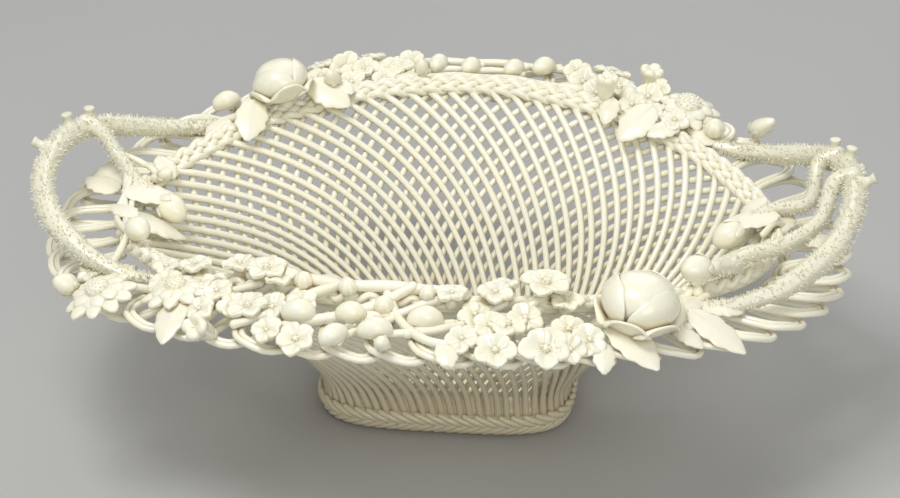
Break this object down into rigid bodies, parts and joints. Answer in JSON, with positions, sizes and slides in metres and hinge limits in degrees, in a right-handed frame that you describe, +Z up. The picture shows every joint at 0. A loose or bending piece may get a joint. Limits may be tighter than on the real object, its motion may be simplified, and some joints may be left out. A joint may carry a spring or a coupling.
{
  "type": "openwork porcelain basket",
  "caption": "Oval openwork porcelain basket with crossed rod walls, a looped border, applied flowers and two branch handles.",
  "frame": {"origin": "middle of the foot's underside, on the surface that the basket stands on", "axes": "+X from handle to handle, +Y to the back, +Z up"},
  "size_m": [0.3336, 0.25, 0.1136],
  "materials": {
    "glazed_foot": "glossy glaze that pools tan in the grooves",
    "glazed_rods": "glossy ivory glaze",
    "glazed_rope": "glossy ivory glaze",
    "glazed_border": "glossy ivory glaze",
    "glazed_branch": "glossy ivory glaze on rough bark",
    "glazed_petals": "glossy pale ivory glaze",
    "glazed_leaves": "glossy ivory glaze"
  },
  "bodies": {
    "root": {"foot_plait": "glazed_foot", "base_lattice": "glazed_foot", "inner_rods": "glazed_rods", "outer_rods": "glazed_rods", "rim_rope": "glazed_rope", "border_strand_a": "glazed_border", "border_strand_b": "glazed_border", "left_handle_branch": "glazed_branch", "right_handle_branch": "glazed_branch", "left_twig": "glazed_branch", "right_twig": "glazed_branch", "right_side_branch": "glazed_branch", "back_rose": "glazed_petals", "back_rose_leaf_a": "glazed_leaves", "back_rose_leaf_b": "glazed_leaves", "back_tapered_bud": "glazed_leaves", "back_bud_a": "glazed_petals", "back_flower_a": "glazed_petals", "back_flower_b": "glazed_petals", "back_flower_c": "glazed_petals", "back_bud_b": "glazed_petals", "back_bud_c": "glazed_petals", "back_bud_d": "glazed_petals", "back_bud_e": "glazed_petals", "back_flower_d": "glazed_petals", "back_flower_e": "glazed_petals", "back_flower_f": "glazed_petals", "back_flower_g": "glazed_petals", "back_bell_a": "glazed_petals", "back_bell_b": "glazed_petals", "back_daisy": "glazed_petals", "back_daisy_leaf": "glazed_leaves", "front_round_bud": "glazed_petals", "front_daisy_a": "glazed_petals", "front_daisy_b": "glazed_petals", "front_daisy_leaf": "glazed_leaves", "front_bell": "glazed_petals", "front_flower_a": "glazed_petals", "front_bud_a": "glazed_petals", "front_flower_b": "glazed_petals", "front_bud_b": "glazed_petals", "front_bud_c": "glazed_petals", "front_bud_d": "glazed_petals", "front_bud_e": "glazed_petals", "front_flower_c": "glazed_petals", "front_flower_d": "glazed_petals", "front_flower_e": "glazed_petals", "front_flower_f": "glazed_petals", "front_flower_g": "glazed_petals", "front_rose": "glazed_petals", "front_rose_leaf_a": "glazed_leaves", "front_rose_leaf_b": "glazed_leaves", "left_rosebud": "glazed_petals", "left_leaf_a": "glazed_leaves", "left_leaf_b": "glazed_leaves", "left_bud": "glazed_petals", "right_rosebud": "glazed_petals", "right_leaf": "glazed_leaves", "right_front_bud": "glazed_petals", "right_back_rosebud": "glazed_petals"}
  },
  "joints": []
}
